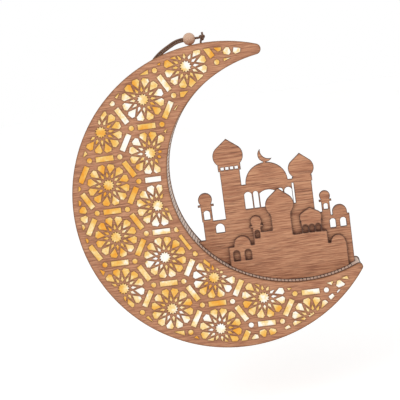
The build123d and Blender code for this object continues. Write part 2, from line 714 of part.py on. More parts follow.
with BuildPart() as series_resistor:
    with BuildSketch(Plane.YZ.offset(TRAY_X - RESISTOR_LEAD_L / 2)):
        with Locations((-resistor_depth, SWITCH_Z)):
            RegularPolygon(RESISTOR_LEAD_D / 2, THIN_SIDES)
    extrude(amount=RESISTOR_LEAD_L)
    with BuildSketch(Plane.YZ.offset(TRAY_X - RESISTOR_L / 2)):
        with Locations((-resistor_depth, SWITCH_Z)):
            RegularPolygon(RESISTOR_D / 2, SMALL_SIDES)
    extrude(amount=RESISTOR_L)
series_resistor.part.label = "series_resistor"
export_step(series_resistor.part, "parts/series_resistor.step")

# Cover of the cell bay, let into the back plate
cover_low = CELL_BAY_LOW - TRAY_WALL
cover_top = TRAY_TOP - COVER_GAP
cover_w = TRAY_W - 2 * COVER_GAP
cover_l = cover_top - cover_low
cover_z = (cover_low + cover_top) / 2

with BuildPart() as battery_cover:
    with BuildSketch(sheet(COVER_RECESS)):
        with Locations((TRAY_X, cover_z)):
            RectangleRounded(cover_w, cover_l, TRAY_CORNER - COVER_GAP)
    extrude(amount=COVER_T)
    with BuildSketch(sheet(COVER_IN)):
        with Locations((TRAY_X, cover_z)):
            RectangleRounded(cover_w, cover_l, TRAY_CORNER - COVER_GAP)
            Rectangle(cover_w - 2 * SKIRT_T, cover_l - 2 * SKIRT_T, mode=CUT)
    extrude(amount=PLY - GLUE_GAP - COVER_IN)
    with BuildSketch(sheet(COVER_RECESS)):
        with Locations((TRAY_X, cover_low + GRIP_D)):
            SlotOverall(GRIP_D, GRIP_D / 2)
            with GridLocations(2.4, 0, 3, 1):
                Rectangle(0.8, GRIP_D / 3, mode=CUT)
    extrude(amount=GRIP_DEPTH, mode=CUT)
battery_cover.part.label = "battery_cover"
export_step(battery_cover.part, "parts/battery_cover.step")

# String lights: from the switch down to the lower horn, back again and up to the upper horn
WIRE_ROUTE = [
    (TRAY_X, SWITCH_LOW), (TRAY_X, -43), (-79, -67), (-57, -90), (-30, -99.5), (0, -104), (32, -104.5),
    (50, -99.5), (66, -92), (77, -85.5), (80.5, -81), (77.5, -78), (68, -81.5), (54, -85), (30, -83.5),
    (4, -76.5), (-22, -66.5), (-50, -58), (-63, -36), (-56, -8), (-53, 20), (-61, 44), (-79, 60),
    (-64, 80), (-44, 88), (-20, 100), (4, 106.5), (24, 110.5),
]

wire_spots = [(x, -WIRE_DEPTH, z) for x, z in WIRE_ROUTE]
led_wire, wire_line = tube("led_wire", wire_spots, WIRE_D, WIRE_SIDES, WIRE_BEND)
led_wire.label = "led_wire"
export_step(led_wire, "parts/led_wire.step")

# Clear resin drops of the lights, spaced back from the far end of the wire
led_count = int((wire_line.length - LED_PITCH / 2) // LED_PITCH) + 1
led_spots = [
    wire_line.location_at(wire_line.length - k * LED_PITCH, position_mode=PositionMode.LENGTH)
    for k in range(led_count)
]

with BuildPart() as led_beads:
    with BuildSketch(*[Plane(spot) for spot in led_spots]):
        RegularPolygon(LED_D / 2, THIN_SIDES)
    extrude(amount=LED_L / 2, both=True)
led_beads.part.label = "led_beads"
export_step(led_beads.part, "parts/led_beads.step")
print("lights", led_count, "on", round(wire_line.length), "mm of wire")
for spot in led_spots:
    print("light at", round(spot.position.X, 1), round(spot.position.Z, 1))

# Round wooden bead on the cord
bead_centre = (BEAD_X, -CORD_DEPTH, BEAD_Z)
rim_angle = asin(BEAD_BORE / BEAD_D)
chord_angle = (pi - 2 * rim_angle) / BEAD_CHORDS
bead_turns = [rim_angle + k * chord_angle for k in range(BEAD_CHORDS + 1)]
bead_corners = [(BEAD_D / 2 * cos(turn), BEAD_D / 2 * sin(turn)) for turn in bead_turns]

with BuildPart() as hanging_bead:
    with BuildSketch(Plane(origin=bead_centre, x_dir=(1, 0, 0), z_dir=(0, -1, 0))):
        Polygon(*bead_corners, align=None)
    revolve(axis=Axis(bead_centre, (1, 0, 0)))
hanging_bead.part.label = "hanging_bead"
export_step(hanging_bead.part, "parts/hanging_bead.step")

# Knots: one past the bead with two tails, one behind the slot in the outer strip
KNOT_X = BEAD_X + 10.3
KNOT_CENTRE = (KNOT_X, -CORD_DEPTH, BEAD_Z)
STOPPER_CENTRE = (-50.3, -CORD_DEPTH, 96.6)


def knot(centre, diameter):
    """Plain knot: an upright drum of a few sides that narrows to both ends."""
    middle = Plane(origin=centre)
    with BuildSketch(middle) as girth:
        RegularPolygon(diameter / 2, SMALL_SIDES)
    extrude(girth.sketch, amount=KNOT_SHARE * diameter, taper=KNOT_TAPER)
    mirror(about=middle)


with BuildPart() as end_knot:
    knot(KNOT_CENTRE, KNOT_D)
    for tail_angle, tail_l in KNOT_TAILS:
        lean = radians(tail_angle)
        with BuildSketch(Plane(origin=KNOT_CENTRE, z_dir=(sin(lean), 0, cos(lean)))):
            RegularPolygon(STRAND_D / 2, THIN_SIDES)
        extrude(amount=tail_l)
end_knot.part.label = "end_knot"
export_step(end_knot.part, "parts/end_knot.step")

with BuildPart() as stopper_knot:
    knot(STOPPER_CENTRE, STOPPER_D)
stopper_knot.part.label = "stopper_knot"
export_step(stopper_knot.part, "parts/stopper_knot.step")

# Cord doubled into two strands: one above the other beside the bead, one behind the other past it
CORD_ROUTE = [
    (KNOT_X - 2.2, BEAD_Z, 0), (KNOT_X - 5.6, BEAD_Z, 0), (BEAD_X, BEAD_Z, 45), (BEAD_X - 5.0, BEAD_Z, 90),
    (-24.0, 125.6, 90), (-30.5, 122.3, 90), (-36.5, 118.9, 90), (-42.0, 114.6, 90), (-46.3, 109.0, 90),
    (-49.2, 102.6, 90), (-50.2, 97.4, 90),
]


def strand_points(side):
    """Points of one strand, set off from the cord's middle line by half the cord's pitch."""
    points = []
    for k, (x, z, turn) in enumerate(CORD_ROUTE):
        ahead = CORD_ROUTE[min(k + 1, len(CORD_ROUTE) - 1)]
        behind = CORD_ROUTE[max(k - 1, 0)]
        run_x = ahead[0] - behind[0]
        run_z = ahead[1] - behind[1]
        in_plane = side * STRAND_OFFSET * sin(radians(turn)) / hypot(run_x, run_z)
        in_depth = side * STRAND_OFFSET * cos(radians(turn))
        points.append((x + run_z * in_plane, -CORD_DEPTH - in_depth, z - run_x * in_plane))
    return points


for strand_name, strand_side in (("cord_strand_upper", 1), ("cord_strand_lower", -1)):
    strand, strand_line = tube(strand_name, strand_points(strand_side), STRAND_D, THIN_SIDES, STRAND_BEND)
    strand.label = strand_name
    export_step(strand, "parts/" + strand_name + ".step")
    print(strand_name, "length", round(strand_line.length, 1))
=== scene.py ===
# %% [markdown]
# # Crescent light box in laser-cut plywood
#
# The ornament is a shallow box: two crescent sheets, two bent strips between them, a mosque in two layers
# standing in the hollow, and a string of small lights inside. Its solids come from the CAD frame, so this
# lesson only dresses them: it lays the cord, ties its knots, and gives each piece the finish of its
# material. The frame is loaded first, and its box is kept.

# %% Load the frame
import math

import bpy
import numpy as np
from mathutils import Matrix, Vector


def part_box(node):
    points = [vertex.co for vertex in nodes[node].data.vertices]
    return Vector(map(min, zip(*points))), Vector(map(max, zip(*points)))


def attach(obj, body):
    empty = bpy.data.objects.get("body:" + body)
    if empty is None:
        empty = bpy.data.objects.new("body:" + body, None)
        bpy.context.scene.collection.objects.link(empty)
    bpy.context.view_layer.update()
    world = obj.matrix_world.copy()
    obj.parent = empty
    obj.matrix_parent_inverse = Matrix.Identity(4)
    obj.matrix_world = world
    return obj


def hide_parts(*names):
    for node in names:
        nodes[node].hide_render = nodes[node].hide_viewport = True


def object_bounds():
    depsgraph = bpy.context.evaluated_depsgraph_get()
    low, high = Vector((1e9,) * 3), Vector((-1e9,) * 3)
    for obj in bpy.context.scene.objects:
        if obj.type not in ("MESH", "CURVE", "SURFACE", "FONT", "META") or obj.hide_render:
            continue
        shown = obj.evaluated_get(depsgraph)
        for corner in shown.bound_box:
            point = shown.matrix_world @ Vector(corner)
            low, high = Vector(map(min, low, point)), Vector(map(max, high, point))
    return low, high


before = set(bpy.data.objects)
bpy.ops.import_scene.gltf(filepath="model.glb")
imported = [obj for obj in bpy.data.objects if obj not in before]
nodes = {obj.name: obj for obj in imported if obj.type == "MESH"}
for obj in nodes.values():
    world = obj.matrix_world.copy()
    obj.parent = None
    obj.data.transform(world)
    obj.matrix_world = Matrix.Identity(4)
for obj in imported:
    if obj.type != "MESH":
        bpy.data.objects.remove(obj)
cad_box = [list(corner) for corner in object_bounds()]
print("CAD box", cad_box)

# %% [markdown]
# ## Tools used all through the lesson
#
# Colours are written as the sRGB codes that a paint chart or a picture gives. Cycles works in linear light,
# so one function turns a code into that. Node trees get long when every node takes five lines, so one more
# function adds any node, sets its fields, and sets or links its inputs. Sizes are in metres, as the frame
# is, and MM keeps the real sizes readable.

# %% Colour and node helpers
MM = 0.001


def linear(code):
    """Linear RGBA of a hex colour: c / 12.92 below 0.04045, else ((c + 0.055) / 1.055) to the power 2.4."""
    srgb = np.array([int(code[k:k + 2], 16) for k in (1, 3, 5)]) / 255
    light = np.where(srgb <= 0.04045, srgb / 12.92, ((srgb + 0.055) / 1.055) ** 2.4)
    return (*light.tolist(), 1.0)


def put(tree, kind, inputs=None, stops=None, **fields):
    """Add a node, set its fields and the stops of its ramp, then set its inputs or link them to sockets."""
    node = tree.nodes.new(kind)
    for name, value in fields.items():
        setattr(node, name, value)
    for k, (place, code) in enumerate(stops or ()):
        ramp = node.color_ramp.elements
        stop = ramp[k] if k < 2 else ramp.new(place)
        stop.position = place
        stop.color = linear(code)
    for key, value in (inputs or {}).items():
        if isinstance(value, bpy.types.NodeSocket):
            tree.links.new(value, node.inputs[key])
        else:
            node.inputs[key].default_value = value
    return node


def new_finish(name):
    """A material with a Principled shader on its output, and its tree to add the pattern to."""
    finish = bpy.data.materials.new(name)
    finish.use_nodes = True
    tree = finish.node_tree
    tree.nodes.clear()
    shader = put(tree, "ShaderNodeBsdfPrincipled")
    put(tree, "ShaderNodeOutputMaterial", {"Surface": shader.outputs[0]})
    return finish, tree, shader


def dress(finish, *names):
    """Give CAD nodes a finish by their material slots, and leave their meshes alone."""
    for name in names:
        for slot in nodes[name].material_slots:
            slot.material = finish
    print(finish.name, "on", ", ".join(names))


print("mid grey is", round(linear("#808080")[0], 3), "in linear light")

# %% [markdown]
# ## The camera
#
# The picture was taken from a little above and to the right of the middle, with a long lens, and the
# ornament hangs slightly turned in it. Three angles say that: the camera looks left, down, and leans.
# Its matrix is built from them rather than from a target, because a target can't give the lean.

# %% Camera at the photograph's angle
LENS = 97.2
CAMERA_PLACE = (0.02986, -0.8746, 0.11413)
LOOK_LEFT = math.radians(-3.432)
LOOK_DOWN = math.radians(7.654)
LEAN = math.radians(-7.741)

ahead = np.array([
    math.sin(LOOK_LEFT) * math.cos(LOOK_DOWN),
    math.cos(LOOK_LEFT) * math.cos(LOOK_DOWN),
    -math.sin(LOOK_DOWN),
])
level = np.array([math.cos(LOOK_LEFT), -math.sin(LOOK_LEFT), 0.0])
above = np.cross(level, ahead)
right = math.cos(LEAN) * level + math.sin(LEAN) * above
up = -math.sin(LEAN) * level + math.cos(LEAN) * above

lens = bpy.data.cameras.new("camera")
lens.lens = LENS
camera = bpy.data.objects.new("camera", lens)
bpy.context.collection.objects.link(camera)
turned = np.column_stack([right, up, -ahead, CAMERA_PLACE])
camera.matrix_world = Matrix([*turned.tolist(), [0, 0, 0, 1]])
bpy.context.scene.camera = camera
print("camera at", [round(v, 3) for v in camera.location])

# %% [markdown]
# ## The hanging cord
#
# A cord is doubled over, knotted inside the box, led out of a slot in the outer strip, and threaded through
# a wooden bead to a second knot. Its two strands lie one above the other at first, then one behind the
# other inside the bead. The route is the one that the solids follow, with the soft strands pressed together.
# Its points are the control points of a NURBS curve, which bends as soft cord does, and the tube follows
# points read from that curve.

# %% Route of the two strands
STRAND_D = 1.75 * MM
STRAND_OFFSET = 0.90 * MM
CORD_Y = -15 * MM
KNOT_PAST_BEAD = 10.3 * MM

bead_middle = np.mean(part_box("hanging_bead"), axis=0)
bead_x = bead_middle[0]
bead_z = bead_middle[2]
knot_x = bead_x + KNOT_PAST_BEAD

# Each point is x, z and the turn of the pair in degrees, from the stopper knot to the knot past the bead
cord_route = np.array([
    (-50.2 * MM, 97.4 * MM, 90),
    (-49.2 * MM, 102.6 * MM, 90),
    (-46.3 * MM, 109.0 * MM, 90),
    (-42.0 * MM, 114.6 * MM, 90),
    (-36.5 * MM, 118.9 * MM, 90),
    (-30.5 * MM, 122.3 * MM, 90),
    (-24.0 * MM, 125.6 * MM, 90),
    (bead_x - 5.0 * MM, bead_z, 90),
    (bead_x, bead_z, 45),
    (knot_x - 5.6 * MM, bead_z, 0),
    (knot_x - 2.2 * MM, bead_z, 0),
])


def strand_points(side):
    """Route points of one strand: the middle line moved by half the pair's pitch, sideways and in depth."""
    x, z, turn = cord_route.T
    count = len(cord_route)
    step = np.arange(count)
    run = cord_route[np.maximum(step - 1, 0), :2] - cord_route[np.minimum(step + 1, count - 1), :2]
    across = side * STRAND_OFFSET * np.sin(np.radians(turn)) / np.linalg.norm(run, axis=1)
    depth = side * STRAND_OFFSET * np.cos(np.radians(turn))
    return np.column_stack([x + run[:, 1] * across, CORD_Y - depth, z - run[:, 0] * across])


CURVE_STEPS = 24


def smooth_line(points):
    """Points of the NURBS curve of order 3 whose control points are given."""
    curve = bpy.data.curves.new("line", "CURVE")
    curve.dimensions = "3D"
    curve.resolution_u = CURVE_STEPS
    spline = curve.splines.new("NURBS")
    spline.points.add(len(points) - 1)
    spline.points.foreach_set("co", np.column_stack([points, np.ones(len(points))]).ravel())
    spline.order_u = 3
    spline.use_endpoint_u = True
    holder = bpy.data.objects.new("line", curve)
    mesh = bpy.data.meshes.new_from_object(holder)
    found = np.empty(3 * len(mesh.vertices))
    mesh.vertices.foreach_get("co", found)
    bpy.data.meshes.remove(mesh)
    bpy.data.objects.remove(holder)
    bpy.data.curves.remove(curve)
    return found.reshape(-1, 3)


strand_lines = {side: smooth_line(strand_points(side)) for side in (1, -1)}
for side, line in strand_lines.items():
    length = np.linalg.norm(np.diff(line, axis=0), axis=1).sum()
    print("strand", side, "has", len(line), "points over", round(length / MM, 1), "mm")

# %% [markdown]
# ## Laid cord as a surface
#
# The cord is three plies twisted together. Its surface is a function of two parameters: the distance s
# along the line and the angle a around it. The radius swells three times round, and the swellings turn
# as s grows, which gives the slanting grooves of laid cord. The frame that carries the section stays steady
# because it is worked out from one fixed direction that the line never follows.

# %% Cord surface
PLIES = 3
PLY_GROOVE = 0.09
STRAND_CREST_R = 0.95 * MM
LAY_LENGTH = 5.2 * MM
CORD_SIDES = 24
RING_STEP = 0.22 * MM


def even_points(line, step):
    """The same line with rings at even distances: each coordinate is read at equal shares of the length."""
    run = np.concatenate([[0], np.cumsum(np.linalg.norm(np.diff(line, axis=0), axis=1))])
    even = np.linspace(0, run[-1], max(8, int(run[-1] / step)))
    return np.column_stack([np.interp(even, run, line[:, k]) for k in range(3)]), even


def laid_tube(line, steady, radius, closed=False):
    """Grid of points line(s) + r(s, a) (cos a n + sin a b).

    The radius is r = radius (1 - groove |sin(plies (a - turn) / 2)|), with turn = 2 pi s / lay. n and b stand
    square to the line, and n is square to the steady direction too. The lays are a whole number, so that the
    ends of a closed line meet.
    """
    rings, run = even_points(line, RING_STEP)
    whole = run[-1]
    if closed:
        rings = rings[:-1]
        run = run[:-1]
        tangent = np.roll(rings, -1, axis=0) - np.roll(rings, 1, axis=0)
    else:
        tangent = np.gradient(rings, axis=0)
    tangent /= np.linalg.norm(tangent, axis=1, keepdims=True)
    n = np.cross(np.asarray(steady, float), tangent)
    n /= np.linalg.norm(n, axis=1, keepdims=True)
    b = np.cross(tangent, n)
    lays = max(1, round(whole / LAY_LENGTH))
    angle = np.arange(CORD_SIDES) * 2 * np.pi / CORD_SIDES
    twist = 2 * np.pi * lays * run[:, None] / whole
    swell = 1 - PLY_GROOVE * np.abs(np.sin(PLIES * (angle[None, :] - twist) / 2))
    section = np.cos(angle)[None, :, None] * n[:, None] + np.sin(angle)[None, :, None] * b[:, None]
    return rings[:, None] + radius * swell[..., None] * section, run, closed


def tube_mesh(name, tubes):
    """One object from several tube grids: quads between rings, flat ends, and a UV map in millimetres."""
    points, faces, uvs, smooth = [], [], [], []
    base = 0
    for grid, run, closed in tubes:
        rings, sides = grid.shape[:2]
        i, j = np.meshgrid(np.arange(rings if closed else rings - 1), np.arange(sides), indexing="ij")
        ahead_i = (i + 1) % rings
        ahead_j = (j + 1) % sides
        corners = [(i, j), (i, ahead_j), (ahead_i, ahead_j), (ahead_i, j)]
        quads = np.stack([base + r * sides + c for r, c in corners], axis=-1).reshape(-1, 4)
        around = np.stack([j, j + 1, j + 1, j], axis=-1).reshape(-1) * np.pi * STRAND_D / sides
        along = np.stack([run[i], run[i], run[i] + RING_STEP, run[i] + RING_STEP], axis=-1).reshape(-1)
        points.append(grid.reshape(-1, 3))
        faces += quads.tolist()
        uvs.append(np.column_stack([along, around]) / MM)
        smooth += [True] * len(quads)
        if not closed:
            first = base + np.arange(sides)[::-1]
            last = base + (rings - 1) * sides + np.arange(sides)
            faces += [first.tolist(), last.tolist()]
            uvs.append(np.zeros((2 * sides, 2)))
            smooth += [False, False]
        base += rings * sides
    mesh = bpy.data.meshes.new(name)
    mesh.from_pydata(np.vstack(points).tolist(), [], faces)
    mesh.polygons.foreach_set("use_smooth", smooth)
    mesh.uv_layers.new(name="cord").data.foreach_set("uv", np.vstack(uvs).ravel())
    mesh.update()
    piece = bpy.data.objects.new(name, mesh)
    bpy.context.collection.objects.link(piece)
    print(name, "has", len(mesh.polygons), "faces")
    return piece


IN_DEPTH = (0, 1, 0)
strands = {}
for side, name in ((1, "cord_upper"), (-1, "cord_lower")):
    strands[side] = tube_mesh(name, [laid_tube(strand_lines[side], IN_DEPTH, STRAND_CREST_R)])

# %% [markdown]
# ## The knots
#
# Both ends are held by an overhand knot pulled tight. A trefoil curve is the closed form of that knot, so a
# tube along it shows the same crossings from every side. The end knot also has two short cut ends, one
# standing up and one hanging down, each a little bent as stiff waxed cord is.

# %% Overhand knots and cut ends
KNOT_CORD_R = 0.88 * MM
KNOT_RISE = 1.7
KNOT_POINTS = 181
CUT_END_POINTS = 24


def knot_line(centre, reach):
    """Trefoil about a centre, made of these three times a third of its reach, with t going once round.

    x = sin t + 2 sin 2t, y = rise sin 3t and z = cos t - 2 cos 2t.
    """
    t = np.linspace(0, 2 * np.pi, KNOT_POINTS)
    x = np.sin(t) + 2 * np.sin(2 * t)
    z = np.cos(t) - 2 * np.cos(2 * t)
    return np.asarray(centre) + np.column_stack([x, KNOT_RISE * np.sin(3 * t), z]) * reach / 3


def cut_end(start, end, bow):
    """Short free end: a straight line from start to end, bowed sideways by bow sin(pi t)."""
    t = np.linspace(0, 1, CUT_END_POINTS)[:, None]
    start = np.asarray(start)
    return start + t * (np.asarray(end) - start) + np.sin(np.pi * t) * np.asarray(bow)


end_low, end_high = np.array(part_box("end_knot"))
stop_low, stop_high = np.array(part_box("stopper_knot"))
end_middle = np.array([knot_x, CORD_Y, bead_z])
stop_middle = (stop_low + stop_high) / 2
end_reach = (end_high[0] - end_low[0]) / 2 - KNOT_CORD_R
stop_reach = (stop_high[0] - stop_low[0]) / 2 - KNOT_CORD_R
upper_tip = (knot_x + 0.4 * MM, CORD_Y, end_high[2])
upper_bow = (0.3 * MM, -0.2 * MM, 0)
lower_tip = (knot_x - 1.6 * MM, CORD_Y, end_low[2])
lower_bow = (-0.2 * MM, -0.3 * MM, 0)

end_knot = tube_mesh("end_knot_tied", [
    laid_tube(knot_line(end_middle, end_reach), IN_DEPTH, KNOT_CORD_R, closed=True),
    laid_tube(cut_end(end_middle, upper_tip, upper_bow), IN_DEPTH, KNOT_CORD_R),
    laid_tube(cut_end(end_middle, lower_tip, lower_bow), IN_DEPTH, KNOT_CORD_R),
])
stopper_knot = tube_mesh("stopper_knot_tied", [
    laid_tube(knot_line(stop_middle, stop_reach), IN_DEPTH, KNOT_CORD_R, closed=True),
])

# %% [markdown]
# The strands and knots take the place of the plain solids that stand for them, and ride on the box. The real
# length of each strand is printed.

# %% Say what the cord pieces are
for side, node in ((1, "cord_strand_upper"), (-1, "cord_strand_lower")):
    strand = strands[side]
    line, run = even_points(strand_lines[side], RING_STEP)
    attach(strand, "box")
    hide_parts(node)
    print(strand.name, "is a cord of", round(run[-1] / MM, 1), "mm in place of", node)
for knot, node in ((end_knot, "end_knot"), (stopper_knot, "stopper_knot")):
    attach(knot, "box")
    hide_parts(node)
    print(knot.name, "in place of", node)

# %% [markdown]
# ## Stained basswood plywood
#
# The sheets are thin basswood plywood with a warm brown stain. A photograph could be wrapped on them, but a
# pattern worked out from real sizes stays sharp and needs no picture. Along the grain the fibres are long and
# fine, so one noise is stretched along X to draw them. A wider one gives the slow bands of darker growth, and
# a third, cut off hard, leaves thin dark pores. Real fibres are about 0.2 mm wide, too fine to show, so they
# are drawn more than three times as wide.

# %% Veneer pattern
FIBRE_LONG = 18 * MM
FIBRE_WIDE = 0.7 * MM
BAND_LONG = 60 * MM
BAND_WIDE = 8 * MM
BAND_SHARE = 0.25
PORE_LONG = 13 * MM
PORE_WIDE = 0.6 * MM
PORE_DARKEST = 0.66
SHEET_APART = 2 * MM


def veneer(tree, place, shades):
    """Colour and height of wood whose grain runs along the first axis of place and across its third.

    Fibres, bands and pores are one noise each, stretched to their own length and width. The shades are dark,
    middle and light wood, and the pore.
    """
    noises = []
    for long, wide in ((FIBRE_LONG, FIBRE_WIDE), (BAND_LONG, BAND_WIDE), (PORE_LONG, PORE_WIDE)):
        stretched = put(
            tree, "ShaderNodeMapping", {"Vector": place, "Scale": (1 / long, 1 / SHEET_APART, 1 / wide)}
        )
        noise = put(
            tree, "ShaderNodeTexNoise",
            {"Vector": stretched.outputs[0], "Scale": 1.0, "Detail": 3.0, "Roughness": 0.6,
             "Distortion": 0.12},
        )
        noises.append(noise.outputs["Fac"])
    fibre, band, pore = noises
    drawn = put(tree, "ShaderNodeMath", {0: band, 1: BAND_SHARE, 2: fibre}, operation="MULTIPLY_ADD")
    colour = put(
        tree, "ShaderNodeValToRGB", {"Fac": drawn.outputs[0]},
        stops=((0.48, shades[0]), (0.74, shades[2]), (0.61, shades[1])),
    )
    dark = put(
        tree, "ShaderNodeMapRange",
        {"Value": pore, "From Min": 0.53, "From Max": 0.66, "To Min": 0.0, "To Max": PORE_DARKEST},
    ).outputs[0]
    pored = put(
        tree, "ShaderNodeMix", {0: dark, 6: colour.outputs[0], 7: linear(shades[3])}, data_type="RGBA"
    )
    height = put(tree, "ShaderNodeMath", {0: fibre, 1: dark}, operation="SUBTRACT")
    return pored.outputs[2], height.outputs[0]


print("veneer fibres", FIBRE_LONG / MM, "by", FIBRE_WIDE / MM, "mm")

# %% [markdown]
# ## Edges cut by laser
#
# The laser burns every edge it cuts to a dark brown, with faint upright marks and the layers of the ply
# showing. A face turned to the front or back is veneer, and any other face of a sheet is a cut, so the
# direction of the surface chooses between the two.

# %% Burnt edge pattern
STRIA_WIDE = 0.7 * MM
STRIA_LONG = 5 * MM
STRIA_SHARE = 0.5
PLY_SHEET = 3 * MM
FACE_TURN = 0.5


def burnt_edge(tree, place):
    """Colour of a laser cut: layers across the sheet, crossed by upright marks."""
    depth = put(tree, "ShaderNodeSeparateXYZ", {"Vector": place}).outputs["Y"]
    layers = put(tree, "ShaderNodeMath", {0: depth, 1: PLY_SHEET}, operation="PINGPONG")
    share = put(tree, "ShaderNodeMath", {0: layers.outputs[0], 1: PLY_SHEET}, operation="DIVIDE")
    stretched = put(
        tree, "ShaderNodeMapping",
        {"Vector": place, "Scale": (1 / STRIA_WIDE, 1 / STRIA_LONG, 1 / STRIA_WIDE)},
    )
    marks = put(tree, "ShaderNodeTexNoise", {"Vector": stretched.outputs[0], "Scale": 1.0, "Detail": 2.0})
    mixed = put(
        tree, "ShaderNodeMath",
        {0: marks.outputs["Fac"], 1: STRIA_SHARE, 2: share.outputs[0]}, operation="MULTIPLY_ADD",
    )
    burnt = put(
        tree, "ShaderNodeValToRGB", {"Fac": mixed.outputs[0]},
        stops=((0.20, "#2E130B"), (1.0, "#3E1D12"), (0.55, "#5E2E1A"), (0.85, "#4E2617")),
    )
    return burnt.outputs[0]


def cut_share(tree):
    """1 on a cut edge and 0 on a sheet's face, from how far the surface turns away from front and back."""
    direction = put(tree, "ShaderNodeTexCoord").outputs["Normal"]
    depth_share = put(tree, "ShaderNodeSeparateXYZ", {"Vector": direction}).outputs["Y"]
    facing = put(tree, "ShaderNodeMath", {0: depth_share}, operation="ABSOLUTE")
    return put(tree, "ShaderNodeMath", {0: facing.outputs[0], 1: FACE_TURN}, operation="LESS_THAN").outputs[0]


print("burnt edge of a", PLY_SHEET / MM, "mm sheet")

# %% [markdown]
# ## Scorch and painted shade
#
# The face beside a cut is scorched as well: charred round the mosque, and only toasted on the crescent, whose
# many small openings are cut at a quicker pass. Behind small windows and in narrow corners, shade is painted
# into a layer's colour as a darker brown. Both depend on what is near, which the occlusion node can tell.
# Looking into the wood it finds the wall of a cut, and looking outwards it finds a narrow corner.

# %% Scorch and painted shade shares
TOASTED = "#6E4218"
TOASTED_WIDE = 1.5 * MM
CHARRED = "#3B1F15"
CHARRED_WIDE = 1.0 * MM
PAINTED_SHADE = "#5A2A14"
SHADE_REACH = 3.5 * MM
SHADE_DEEPEST = 0.85


def scorch_share(tree, wide):
    """1 where the face meets a cut, falling to 0 at the given width.

    Rays sent into the wood meet the wall of a near cut, and the share of rays that do is read.
    """
    solid = put(
        tree, "ShaderNodeAmbientOcclusion", {"Distance": wide}, samples=8, inside=True, only_local=True
    )
    return put(
        tree, "ShaderNodeMapRange",
        {"Value": solid.outputs["AO"], "From Min": 0.5, "From Max": 0.95, "To Min": 1.0, "To Max": 0.0},
    ).outputs[0]


def corner_shade_share(tree, deepest, reach):
    """Painted shade share: deepest in a narrow corner, 0 in the open, from how much of what is around lies
    near.
    """
    open_air = put(tree, "ShaderNodeAmbientOcclusion", {"Distance": reach}, samples=8)
    return put(
        tree, "ShaderNodeMapRange",
        {"Value": open_air.outputs["AO"], "From Min": 0.3, "From Max": 0.75,
         "To Min": deepest, "To Max": 0.0},
    ).outputs[0]


print("scorched", CHARRED_WIDE / MM, "mm beside deep cuts and", TOASTED_WIDE / MM, "mm beside fine ones")

# %% [markdown]
# ## The flat sheets
#
# Four sheets share one finish, with their own shades and scorch. The back board faces the wall, so it is left
# without stain. Stain dries matt, and 1.5 is the usual index of wood and its finishes.

# %% Plywood sheets
STAINED_SHADES = ("#8C573B", "#AE7655", "#C28D69", "#5C3421")
UNSTAINED_SHADES = ("#A97A52", "#C6966B", "#D6AC82", "#7F5534")
GRAIN_RELIEF = 0.15 * MM


def plywood(name, shades, scorch, scorch_wide, painted_corner_shade=False):
    """Finish of a flat sheet: veneer, with shade painted into narrow corners if asked, a scorched rim beside
    each cut, and burnt cuts.
    """
    finish, tree, shader = new_finish(name)
    place = put(tree, "ShaderNodeTexCoord").outputs["Object"]
    colour, height = veneer(tree, place, shades)
    # Painted shade: the veneer is darkened in narrow corners and behind small windows, where shade falls
    if painted_corner_shade:
        share = corner_shade_share(tree, SHADE_DEEPEST, SHADE_REACH)
        darkened = put(tree, "ShaderNodeMix", {0: share, 6: colour, 7: linear(PAINTED_SHADE)}, data_type="RGBA")
        colour = darkened.outputs[2]
    scorched = put(
        tree, "ShaderNodeMix",
        {0: scorch_share(tree, scorch_wide), 6: colour, 7: linear(scorch)}, data_type="RGBA",
    )
    mixed = put(
        tree, "ShaderNodeMix",
        {0: cut_share(tree), 6: scorched.outputs[2], 7: burnt_edge(tree, place)}, data_type="RGBA",
    )
    bump = put(tree, "ShaderNodeBump", {"Height": height, "Strength": 0.35, "Distance": GRAIN_RELIEF})
    tree.links.new(mixed.outputs[2], shader.inputs["Base Color"])
    tree.links.new(bump.outputs[0], shader.inputs["Normal"])
    shader.inputs["Roughness"].default_value = 0.62
    shader.inputs["IOR"].default_value = 1.5
    return finish


fretwork_finish = plywood("stained_basswood_plywood_fine_cut", STAINED_SHADES, TOASTED, TOASTED_WIDE)
dress(fretwork_finish, "front_fretwork")
board_finish = plywood("unstained_basswood_plywood", UNSTAINED_SHADES, TOASTED, TOASTED_WIDE)
dress(board_finish, "back_plate")
front_layer_finish = plywood("stained_basswood_plywood_deep_cut", STAINED_SHADES, CHARRED, CHARRED_WIDE)
dress(front_layer_finish, "mosque_front_layer")
# The mosque's rear layer has painted shade behind the front layer's windows and beside its outline
rear_layer_finish = plywood(
    "stained_basswood_plywood_deep_cut_sooty", STAINED_SHADES, CHARRED, CHARRED_WIDE, painted_corner_shade=True
)
dress(rear_layer_finish, "mosque_rear_layer")

# %% [markdown]
# ## The glow behind the fretwork
#
# The lights are on in the picture, and a frosted film behind the fretwork spreads them. Small lamps behind
# film would need very many samples to show clean, so the light that comes through is written into the finish
# instead: over a lamp it is white, further off pale yellow, and between lamps a deep amber. The distance to
# the nearest lamp drives that. All the lamps are one mesh in the frame, so their places are found first, by
# taking the points that lie near each other together, and the glow follows the lamps if they move.

# %% Places of the lights
LAMP_APART = 6.7 * MM

light_mesh = nodes["led_beads"].data
light_points = np.empty(3 * len(light_mesh.vertices))
light_mesh.vertices.foreach_get("co", light_points)
light_points = light_points.reshape(-1, 3)
lights = []
while len(light_points):
    near = np.linalg.norm(light_points - light_points[0], axis=1) < LAMP_APART
    cluster = light_points[near]
    lights.append((cluster.min(axis=0) + cluster.max(axis=0)) / 2)
    light_points = light_points[~near]
print(len(lights), "lights found")

# %% [markdown]
# A plain minimum of the distances would leave sharp creases halfway between two lamps, so a smooth one is
# used. The film isn't even: its frosting and the folds of the wire behind it make the light drift over a few
# centimetres and speckle over a few millimetres, which moves the distance up or down before it is coloured.

